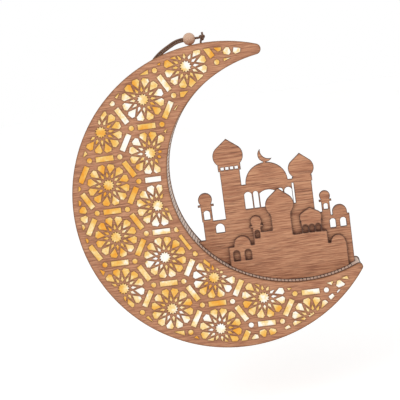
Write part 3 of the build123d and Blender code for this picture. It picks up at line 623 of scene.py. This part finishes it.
# %% Colour of the glow
GLOW_SOFT = 6 * MM
GLOW_FAR = 18 * MM
GLOW_REACH = 30 * MM
DRIFT_SIZE = 13 * MM
DRIFT = 11.5 * MM
SPECKLE_SIZE = 1.8 * MM
SPECKLE = 3.5 * MM


def glow_colour(tree):
    """Colour of the light at a place: white over a lamp, then pale yellow, then amber further off."""
    place = put(tree, "ShaderNodeTexCoord").outputs["Object"]
    flat = put(tree, "ShaderNodeVectorMath", {0: place, 1: (1, 0, 1)}, operation="MULTIPLY").outputs[0]
    distances = []
    for x, _, z in lights:
        away = put(tree, "ShaderNodeVectorMath", {0: flat, 1: (x, 0, z)}, operation="DISTANCE")
        distances.append(away.outputs["Value"])
    nearest, *others = distances
    for away in (*others, GLOW_FAR):
        nearest = put(
            tree, "ShaderNodeMath", {0: nearest, 1: away, 2: GLOW_SOFT}, operation="SMOOTH_MIN"
        ).outputs[0]
    for size, swing in ((DRIFT_SIZE, DRIFT), (SPECKLE_SIZE, SPECKLE)):
        noise = put(tree, "ShaderNodeTexNoise", {"Vector": flat, "Scale": 1 / size, "Detail": 2.0})
        spread = put(
            tree, "ShaderNodeMapRange",
            {"Value": noise.outputs["Fac"], "From Min": 0.3, "From Max": 0.7,
             "To Min": -swing, "To Max": swing},
        )
        nearest = put(tree, "ShaderNodeMath", {0: nearest, 1: spread.outputs[0]}, operation="ADD").outputs[0]
    fade = put(tree, "ShaderNodeMath", {0: nearest, 1: GLOW_REACH}, operation="DIVIDE")
    glow = put(
        tree, "ShaderNodeValToRGB", {"Fac": fade.outputs[0]},
        stops=((0.0, "#FFFEFA"), (1.0, "#F09E2E"), (0.18, "#FFF6E0"), (0.32, "#FBDFA2"),
               (0.56, "#F2C36B"), (0.78, "#F1AE48")),
    )
    return glow.outputs[0]


print("glow from white to amber over", GLOW_REACH / MM, "mm")

# %% [markdown]
# The film is thin polypropylene with a matt face. Its own colour is kept dark, so that only the glow shows
# through the openings and the room's light doesn't wash it out.

# %% Frosted film
GLOW_STRENGTH = 1.0

film_finish, tree, shader = new_finish("frosted_polypropylene_film_lit")
tree.links.new(glow_colour(tree), shader.inputs["Emission Color"])
shader.inputs["Emission Strength"].default_value = GLOW_STRENGTH
shader.inputs["Base Color"].default_value = linear("#2A1C0C")
shader.inputs["Roughness"].default_value = 0.85
shader.inputs["IOR"].default_value = 1.49
dress(film_finish, "diffuser_film")

# %% [markdown]
# The walls of the openings catch the light of the lamps behind them, so they take the same glow, a little
# weaker. The plate's own rims, round the outside and along the hollow, stay burnt and dark. They are told
# apart by place: the outside is a circle, and the hollow is an oval, which becomes a circle once its height
# is stretched to its width.

# %% Light on the walls of the openings
OUTER_R = 122 * MM
HOLLOW_X = 53.8 * MM
HOLLOW_Z = 17.1 * MM
HOLLOW_HALF_W = 98.0 * MM
HOLLOW_HALF_H = 91.9 * MM
BORDER_LEAST = 2.5 * MM
WALL_GLOW = 0.8

tree = fretwork_finish.node_tree
shader = tree.nodes["Principled BSDF"]
place = put(tree, "ShaderNodeTexCoord").outputs["Object"]
flat = put(tree, "ShaderNodeVectorMath", {0: place, 1: (1, 0, 1)}, operation="MULTIPLY").outputs[0]
from_middle = put(tree, "ShaderNodeVectorMath", {0: flat}, operation="LENGTH").outputs["Value"]
off_hollow = put(tree, "ShaderNodeVectorMath", {0: flat, 1: (HOLLOW_X, 0, HOLLOW_Z)}, operation="SUBTRACT")
rounded = put(
    tree, "ShaderNodeVectorMath",
    {0: off_hollow.outputs[0], 1: (1, 0, HOLLOW_HALF_W / HOLLOW_HALF_H)}, operation="MULTIPLY",
)
from_hollow = put(tree, "ShaderNodeVectorMath", {0: rounded.outputs[0]}, operation="LENGTH").outputs["Value"]
within = put(tree, "ShaderNodeMath", {0: from_middle, 1: OUTER_R - BORDER_LEAST}, operation="LESS_THAN")
beyond = put(
    tree, "ShaderNodeMath", {0: from_hollow, 1: HOLLOW_HALF_W + BORDER_LEAST}, operation="GREATER_THAN"
)
pierced = put(tree, "ShaderNodeMath", {0: within.outputs[0], 1: beyond.outputs[0]}, operation="MULTIPLY")
walls = put(tree, "ShaderNodeMath", {0: pierced.outputs[0], 1: cut_share(tree)}, operation="MULTIPLY")
lit = put(tree, "ShaderNodeMath", {0: walls.outputs[0], 1: WALL_GLOW}, operation="MULTIPLY")
tree.links.new(glow_colour(tree), shader.inputs["Emission Color"])
tree.links.new(lit.outputs[0], shader.inputs["Emission Strength"])
print("walls of the openings lit at", WALL_GLOW)

# %% [markdown]
# ## The bent strips
#
# Both strips are the same ply, bent round the edge, so their grain runs along the bend. Object coordinates
# can't do that by themselves: the angle about the bend's centre, times its radius, gives the distance along
# the strip. The inner strip is left pale, and its row of cuts is burnt dark. A cut's walls run along the
# radius of the bend, so a surface that doesn't face the centre is inside a cut. The floor of a cut does face
# the centre, and the walls near it give it away, as they did for the painted shade. The same share paints
# shade into the strip's narrow corners where it meets the other parts, in the colour of the burn.

# %% Finish of the bent strips
STRIP_RELIEF = 0.12 * MM
KERF_TURN = 0.6
KERF_REACH = 1.8 * MM
KERF_BURN_AND_SHADE = "#3A241A"
RAW_SHADES = ("#BFA493", "#D6BEAE", "#E4D1C3", "#A08775")


def bent_strip(name, centre_x, centre_z, radius, shades):
    """Wood bent about a centre: the grain's place is (radius times angle, distance out, depth)."""
    finish, tree, shader = new_finish(name)
    place = put(tree, "ShaderNodeTexCoord").outputs["Object"]
    out = put(
        tree, "ShaderNodeVectorMath", {0: place, 1: (centre_x, 0, centre_z)}, operation="SUBTRACT"
    )
    parts = put(tree, "ShaderNodeSeparateXYZ", {"Vector": out.outputs[0]})
    angle = put(tree, "ShaderNodeMath", {0: parts.outputs["Z"], 1: parts.outputs["X"]}, operation="ARCTAN2")
    along = put(tree, "ShaderNodeMath", {0: angle.outputs[0], 1: radius}, operation="MULTIPLY")
    bent = put(tree, "ShaderNodeCombineXYZ", {"X": along.outputs[0], "Y": 0.0, "Z": parts.outputs["Y"]})
    colour, height = veneer(tree, bent.outputs[0], shades)
    bump = put(tree, "ShaderNodeBump", {"Height": height, "Strength": 0.3, "Distance": STRIP_RELIEF})
    tree.links.new(bump.outputs[0], shader.inputs["Normal"])
    shader.inputs["Roughness"].default_value = 0.64
    shader.inputs["IOR"].default_value = 1.5
    return finish, tree, shader, out.outputs[0], colour


outer_finish, tree, shader, out, colour = bent_strip(
    "stained_basswood_bent_strip", 0.0, 0.0, OUTER_R, STAINED_SHADES
)
tree.links.new(colour, shader.inputs["Base Color"])
dress(outer_finish, "outer_wall")

inner_finish, tree, shader, out, colour = bent_strip(
    "raw_basswood_kerf_cut_strip", HOLLOW_X, HOLLOW_Z, (HOLLOW_HALF_W + HOLLOW_HALF_H) / 2, RAW_SHADES
)
flat_out = put(tree, "ShaderNodeVectorMath", {0: out, 1: (1, 0, 1)}, operation="MULTIPLY")
way_out = put(tree, "ShaderNodeVectorMath", {0: flat_out.outputs[0]}, operation="NORMALIZE")
facing = put(
    tree, "ShaderNodeVectorMath",
    {0: way_out.outputs[0], 1: put(tree, "ShaderNodeTexCoord").outputs["Normal"]}, operation="DOT_PRODUCT",
)
turned = put(tree, "ShaderNodeMath", {0: facing.outputs["Value"]}, operation="ABSOLUTE")
in_cut = put(tree, "ShaderNodeMath", {0: turned.outputs[0], 1: KERF_TURN}, operation="LESS_THAN")
# The burn colour goes on the walls and floors of the cuts, and as painted shade into the strip's narrow
# corners
burnt = put(
    tree, "ShaderNodeMath", {0: in_cut.outputs[0], 1: corner_shade_share(tree, 1.0, KERF_REACH)}, operation="MAXIMUM"
)
kerfed = put(
    tree, "ShaderNodeMix", {0: burnt.outputs[0], 6: colour, 7: linear(KERF_BURN_AND_SHADE)}, data_type="RGBA"
)
tree.links.new(kerfed.outputs[2], shader.inputs["Base Color"])
dress(inner_finish, "inner_wall")

# %% [markdown]
# ## Cord and bead
#
# The cord is waxed cotton: dark brown, with fine fibres that slant along its plies and a slight wax gloss in
# the grooves. The bead is turned beech, pale, with short flecks along the grain and growth rings across it.

# %% Waxed cotton cord
# The cord's UV map is in millimetres, and so are these two
COTTON_LONG = 2.4
COTTON_WIDE = 0.25
COTTON_SLANT = math.radians(32)
COTTON_RELIEF = 0.08 * MM

cord_finish, tree, shader = new_finish("waxed_cotton_laid_cord")
across = put(tree, "ShaderNodeUVMap", uv_map="cord").outputs[0]
slanted = put(
    tree, "ShaderNodeMapping",
    {"Vector": across, "Rotation": (0, 0, COTTON_SLANT), "Scale": (1 / COTTON_LONG, 1 / COTTON_WIDE, 1)},
)
fibres = put(tree, "ShaderNodeTexNoise", {"Vector": slanted.outputs[0], "Scale": 1.0, "Detail": 4.0})
brown = put(
    tree, "ShaderNodeValToRGB", {"Fac": fibres.outputs["Fac"]},
    stops=((0.30, "#48301F"), (0.75, "#886650"), (0.52, "#674935")),
)
bump = put(
    tree, "ShaderNodeBump", {"Height": fibres.outputs["Fac"], "Strength": 0.5, "Distance": COTTON_RELIEF}
)
tree.links.new(brown.outputs[0], shader.inputs["Base Color"])
tree.links.new(bump.outputs[0], shader.inputs["Normal"])
shader.inputs["Roughness"].default_value = 0.7
shader.inputs["Sheen Weight"].default_value = 0.2
shader.inputs["Sheen Roughness"].default_value = 0.5
for piece in (*strands.values(), end_knot, stopper_knot):
    piece.data.materials.append(cord_finish)
print(cord_finish.name, "on the cord and its knots")

# %% Turned beech bead
FLECK_LONG = 1.6 * MM
FLECK_WIDE = 0.35 * MM
RING_APART = 1.9 * MM
RING_SHARE = 0.35
# The wave texture is sin(20 x), and this is the length of one wave
WAVE_LONG = 0.314

bead_finish, tree, shader = new_finish("turned_beech_bead")
place = put(tree, "ShaderNodeTexCoord").outputs["Object"]
tilted = put(tree, "ShaderNodeMapping", {"Vector": place, "Rotation": (0.3, 0.5, 0)})
rings = put(
    tree, "ShaderNodeTexWave",
    {"Vector": tilted.outputs[0], "Scale": WAVE_LONG / RING_APART, "Distortion": 1.5, "Detail": 2.0},
    bands_direction="Z",
)
stretched = put(
    tree, "ShaderNodeMapping",
    {"Vector": place, "Scale": (1 / FLECK_LONG, 1 / FLECK_WIDE, 1 / FLECK_WIDE)},
)
flecks = put(tree, "ShaderNodeTexNoise", {"Vector": stretched.outputs[0], "Scale": 1.0, "Detail": 2.0})
drawn = put(
    tree, "ShaderNodeMath",
    {0: rings.outputs["Fac"], 1: RING_SHARE, 2: flecks.outputs["Fac"]}, operation="MULTIPLY_ADD",
)
tan = put(
    tree, "ShaderNodeValToRGB", {"Fac": drawn.outputs[0]},
    stops=((0.35, "#C2997F"), (0.95, "#CEAD94"), (0.62, "#C8A389")),
)
tree.links.new(tan.outputs[0], shader.inputs["Base Color"])
shader.inputs["Roughness"].default_value = 0.48
shader.inputs["IOR"].default_value = 1.5
dress(bead_finish, "hanging_bead")

# %% [markdown]
# ## The battery tray and what is in it
#
# The tray and its cover are black moulded ABS with a fine spark-eroded grain. The slide switch is black
# nylon with a grey knob. The contacts are nickel-plated spring steel, the screws are zinc-plated, and both
# keep the small brightness changes that plating has. One function makes every moulded plastic and one every
# plated metal, because they differ only in colour, gloss and the size of their grain.

# %% Moulded plastics and plated metals
MOTTLE_SIZE = 8 * MM


def moulded(name, dark, light, roughness, grain):
    """Plastic with a soft mottle and a fine moulded grain of the given size in the bump."""
    finish, tree, shader = new_finish(name)
    place = put(tree, "ShaderNodeTexCoord").outputs["Object"]
    mottle = put(tree, "ShaderNodeTexNoise", {"Vector": place, "Scale": 1 / MOTTLE_SIZE, "Detail": 3.0})
    colour = put(
        tree, "ShaderNodeValToRGB", {"Fac": mottle.outputs["Fac"]}, stops=((0.35, dark), (0.65, light))
    )
    eroded = put(tree, "ShaderNodeTexNoise", {"Vector": place, "Scale": 1 / grain, "Detail": 1.0})
    bump = put(
        tree, "ShaderNodeBump", {"Height": eroded.outputs["Fac"], "Strength": 0.25, "Distance": grain / 4}
    )
    tree.links.new(colour.outputs[0], shader.inputs["Base Color"])
    tree.links.new(bump.outputs[0], shader.inputs["Normal"])
    shader.inputs["Roughness"].default_value = roughness
    shader.inputs["IOR"].default_value = 1.53
    return finish


def plated(name, dark, light, roughness, grain):
    """Bright metal whose brightness drifts over a grain of the given size."""
    finish, tree, shader = new_finish(name)
    place = put(tree, "ShaderNodeTexCoord").outputs["Object"]
    drift = put(tree, "ShaderNodeTexNoise", {"Vector": place, "Scale": 1 / grain, "Detail": 3.0})
    colour = put(
        tree, "ShaderNodeValToRGB", {"Fac": drift.outputs["Fac"]}, stops=((0.3, dark), (0.7, light))
    )
    worn = put(
        tree, "ShaderNodeMapRange",
        {"Value": drift.outputs["Fac"], "To Min": roughness - 0.08, "To Max": roughness + 0.08},
    )
    tree.links.new(colour.outputs[0], shader.inputs["Base Color"])
    tree.links.new(worn.outputs[0], shader.inputs["Roughness"])
    shader.inputs["Metallic"].default_value = 1.0
    return finish


ABS_GRAIN = 0.25 * MM
NYLON_GRAIN = 0.2 * MM
PLATING_DRIFT = 1.5 * MM

dress(moulded("moulded_abs_black", "#272625", "#302E2D", 0.5, ABS_GRAIN), "battery_tray")
dress(moulded("moulded_abs_black_cover", "#2F2D2B", "#383634", 0.46, ABS_GRAIN), "battery_cover")
dress(moulded("moulded_nylon_black", "#1C1C1D", "#242425", 0.42, NYLON_GRAIN), "switch_body")
dress(moulded("moulded_nylon_grey", "#48484B", "#565659", 0.40, NYLON_GRAIN), "switch_slider")
nickel_finish = plated("nickel_plated_spring_steel", "#A9A69F", "#C8C5BD", 0.26, PLATING_DRIFT)
dress(nickel_finish, "contact_bridge", "contact_terminals")
dress(plated("zinc_plated_screw_steel", "#A3A7A9", "#BFC3C4", 0.34, PLATING_DRIFT), "tray_screws")

# %% [markdown]
# A cell is a steel can in a plain sleeve: the sleeve stops short of both ends, where the steel shows.
# It changes along one axis only, so the place along that axis is all that its finish needs.

# %% Cells
SLEEVE_MARGIN = 1.6 * MM
SCUFF_SIZE = 3 * MM

cell_low, cell_high = np.array(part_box("battery_cells"))
cell_middle = (cell_low[2] + cell_high[2]) / 2
cell_half = (cell_high[2] - cell_low[2]) / 2
cell_finish, tree, shader = new_finish("shrink_sleeve_on_steel_cell")
place = put(tree, "ShaderNodeTexCoord").outputs["Object"]
height = put(tree, "ShaderNodeSeparateXYZ", {"Vector": place}).outputs["Z"]
from_middle = put(tree, "ShaderNodeMath", {0: height, 1: cell_middle}, operation="SUBTRACT")
off_middle = put(tree, "ShaderNodeMath", {0: from_middle.outputs[0]}, operation="ABSOLUTE")
bare = put(
    tree, "ShaderNodeMath",
    {0: off_middle.outputs[0], 1: cell_half - SLEEVE_MARGIN}, operation="GREATER_THAN",
)
scuff = put(tree, "ShaderNodeTexNoise", {"Vector": place, "Scale": 1 / SCUFF_SIZE, "Detail": 4.0})
sleeve = put(
    tree, "ShaderNodeValToRGB", {"Fac": scuff.outputs["Fac"]}, stops=((0.3, "#686C70"), (0.7, "#777B80"))
)
steel = put(
    tree, "ShaderNodeMix", {0: bare.outputs[0], 6: sleeve.outputs[0], 7: linear("#B7B4AC")}, data_type="RGBA"
)
tree.links.new(steel.outputs[2], shader.inputs["Base Color"])
tree.links.new(bare.outputs[0], shader.inputs["Metallic"])
shader.inputs["Roughness"].default_value = 0.33
dress(cell_finish, "battery_cells")

# %% [markdown]
# The resistor is a buff body with four plain colour bands on tinned leads. It changes along one axis too, so
# a ramp with hard steps along that axis paints the bands.

# %% Resistor
RESISTOR_HALF = 3.15 * MM
LACQUER_SIZE = 1.2 * MM

resistor_low, resistor_high = np.array(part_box("series_resistor"))
resistor_middle = (resistor_low[0] + resistor_high[0]) / 2
resistor_finish, tree, shader = new_finish("carbon_film_resistor_lacquer")
place = put(tree, "ShaderNodeTexCoord").outputs["Object"]
along = put(tree, "ShaderNodeSeparateXYZ", {"Vector": place}).outputs["X"]
share = put(
    tree, "ShaderNodeMapRange",
    {"Value": along, "From Min": resistor_middle - RESISTOR_HALF,
     "From Max": resistor_middle + RESISTOR_HALF},
)
bands = put(
    tree, "ShaderNodeValToRGB", {"Fac": share.outputs[0]},
    stops=((0.01, "#B4B3AE"), (0.99, "#B4B3AE"), (0.02, "#CDB68C"), (0.16, "#5A3A22"), (0.24, "#CDB68C"),
           (0.34, "#1E1D1C"), (0.42, "#CDB68C"), (0.52, "#C2571E"), (0.60, "#CDB68C"), (0.78, "#B08A3C"),
           (0.86, "#CDB68C")),
)
bands.color_ramp.interpolation = "CONSTANT"
lacquer = put(tree, "ShaderNodeTexNoise", {"Vector": place, "Scale": 1 / LACQUER_SIZE, "Detail": 2.0})
gloss = put(tree, "ShaderNodeMapRange", {"Value": lacquer.outputs["Fac"], "To Min": 0.25, "To Max": 0.45})
tree.links.new(bands.outputs[0], shader.inputs["Base Color"])
tree.links.new(gloss.outputs[0], shader.inputs["Roughness"])
dress(resistor_finish, "series_resistor")

# %% [markdown]
# ## The string lights
#
# The wire is enamelled copper, which shows the metal through a thin clear lacquer. A coat over the metal
# gives that.

# %% Wire
COPPER_DRIFT = 4 * MM

wire_finish, tree, shader = new_finish("enamelled_copper_wire")
place = put(tree, "ShaderNodeTexCoord").outputs["Object"]
drift = put(tree, "ShaderNodeTexNoise", {"Vector": place, "Scale": 1 / COPPER_DRIFT, "Detail": 2.0})
copper = put(
    tree, "ShaderNodeValToRGB", {"Fac": drift.outputs["Fac"]}, stops=((0.3, "#A9602F"), (0.7, "#C67C45"))
)
tree.links.new(copper.outputs[0], shader.inputs["Base Color"])
shader.inputs["Metallic"].default_value = 1.0
shader.inputs["Roughness"].default_value = 0.32
shader.inputs["Coat Weight"].default_value = 0.6
dress(wire_finish, "led_wire")

# %% [markdown]
# Each lamp is a drop of clear resin over a chip. Lit, it is too bright to show the chip, so it shines all
# over, white with a slight warm drift.

# %% Lamps
LAMP_STRENGTH = 1.6
SWIRL_SIZE = 2 * MM

lamp_finish, tree, shader = new_finish("clear_resin_lamp_lit")
place = put(tree, "ShaderNodeTexCoord").outputs["Object"]
swirl = put(tree, "ShaderNodeTexNoise", {"Vector": place, "Scale": 1 / SWIRL_SIZE, "Detail": 1.0})
warm = put(
    tree, "ShaderNodeValToRGB", {"Fac": swirl.outputs["Fac"]}, stops=((0.3, "#FFF1D2"), (0.7, "#FFFDF6"))
)
tree.links.new(warm.outputs[0], shader.inputs["Base Color"])
tree.links.new(warm.outputs[0], shader.inputs["Emission Color"])
shader.inputs["Emission Strength"].default_value = LAMP_STRENGTH
shader.inputs["Roughness"].default_value = 0.18
shader.inputs["IOR"].default_value = 1.52
dress(lamp_finish, "led_beads")

# %% [markdown]
# ## Floor and light
#
# The picture has a plain white ground and even light with no hard shadow. A pale floor lies below the
# ornament and keeps its shadow. It glows faintly to the camera, so that it meets the white ground.

# %% Floor
FLOOR_DROP = 60 * MM
FLOOR_HALF = 6.0
FLOOR_LIFT = 0.19
BRUSH_SCALE = 3.0


def background_share(tree):
    """1 for a ray that shows the background: straight to the camera, in a reflection or through glass."""
    ray = put(tree, "ShaderNodeLightPath")
    straight = ray.outputs["Is Camera Ray"]
    mirrored = put(
        tree, "ShaderNodeMath", {0: straight, 1: ray.outputs["Is Glossy Ray"]}, operation="MAXIMUM"
    )
    through = put(
        tree, "ShaderNodeMath",
        {0: mirrored.outputs[0], 1: ray.outputs["Is Transmission Ray"]}, operation="MAXIMUM",
    )
    return through.outputs[0]


floor_z = cad_box[0][2] - FLOOR_DROP
corners = [(x * FLOOR_HALF, y * FLOOR_HALF, floor_z) for x, y in ((-1, -1), (1, -1), (1, 1), (-1, 1))]
floor_mesh = bpy.data.meshes.new("floor")
floor_mesh.from_pydata(corners, [], [(0, 1, 2, 3)])
floor = bpy.data.objects.new("floor", floor_mesh)
bpy.context.collection.objects.link(floor)
floor_finish, tree, shader = new_finish("white_painted_board")
place = put(tree, "ShaderNodeTexCoord").outputs["Object"]
brushed = put(tree, "ShaderNodeTexNoise", {"Vector": place, "Scale": BRUSH_SCALE, "Detail": 2.0})
white = put(
    tree, "ShaderNodeValToRGB", {"Fac": brushed.outputs["Fac"]}, stops=((0.3, "#FBFBFA"), (0.7, "#FEFEFE"))
)
tree.links.new(white.outputs[0], shader.inputs["Base Color"])
seen = background_share(tree)
lifted = put(tree, "ShaderNodeMath", {0: seen, 1: FLOOR_LIFT}, operation="MULTIPLY")
tree.links.new(lifted.outputs[0], shader.inputs["Emission Strength"])
shader.inputs["Emission Color"].default_value = linear("#FFFFFF")
shader.inputs["Roughness"].default_value = 0.9
floor_mesh.materials.append(floor_finish)
print("floor at", round(floor_z / MM, 1), "mm")

# %% [markdown]
# The world is white to the camera and to reflections, and a little dimmer as light, so that a colour renders
# about as it is written. Two large soft lamps add the slight change of brightness that shows the depth of
# the layers.

# %% World and lamps
AMBIENT = 0.82

world = bpy.data.worlds.new("white_room")
bpy.context.scene.world = world
world.use_nodes = True
tree = world.node_tree
tree.nodes.clear()
seen = background_share(tree)
light = put(tree, "ShaderNodeBackground", {"Color": (1, 1, 1, 1), "Strength": AMBIENT})
ground = put(tree, "ShaderNodeBackground", {"Color": (1, 1, 1, 1), "Strength": 1.0})
chosen = put(tree, "ShaderNodeMixShader", {0: seen, 1: light.outputs[0], 2: ground.outputs[0]})
put(tree, "ShaderNodeOutputWorld", {"Surface": chosen.outputs[0]})

for name, place, size, watts in (
    ("soft_key", (-0.7, -1.3, 0.9), 0.9, 7.0),
    ("soft_fill", (0.9, -1.2, 0.1), 1.1, 3.0),
):
    lamp = bpy.data.lights.new(name, "AREA")
    lamp.size = size
    lamp.energy = watts
    holder = bpy.data.objects.new(name, lamp)
    holder.location = place
    aim = -np.array(place)
    holder.rotation_mode = "QUATERNION"
    holder.rotation_quaternion = Vector(aim).to_track_quat("-Z", "Y")
    bpy.context.collection.objects.link(holder)
    print(name, "of", watts, "W at", place)

bpy.context.scene.view_settings.view_transform = "Standard"
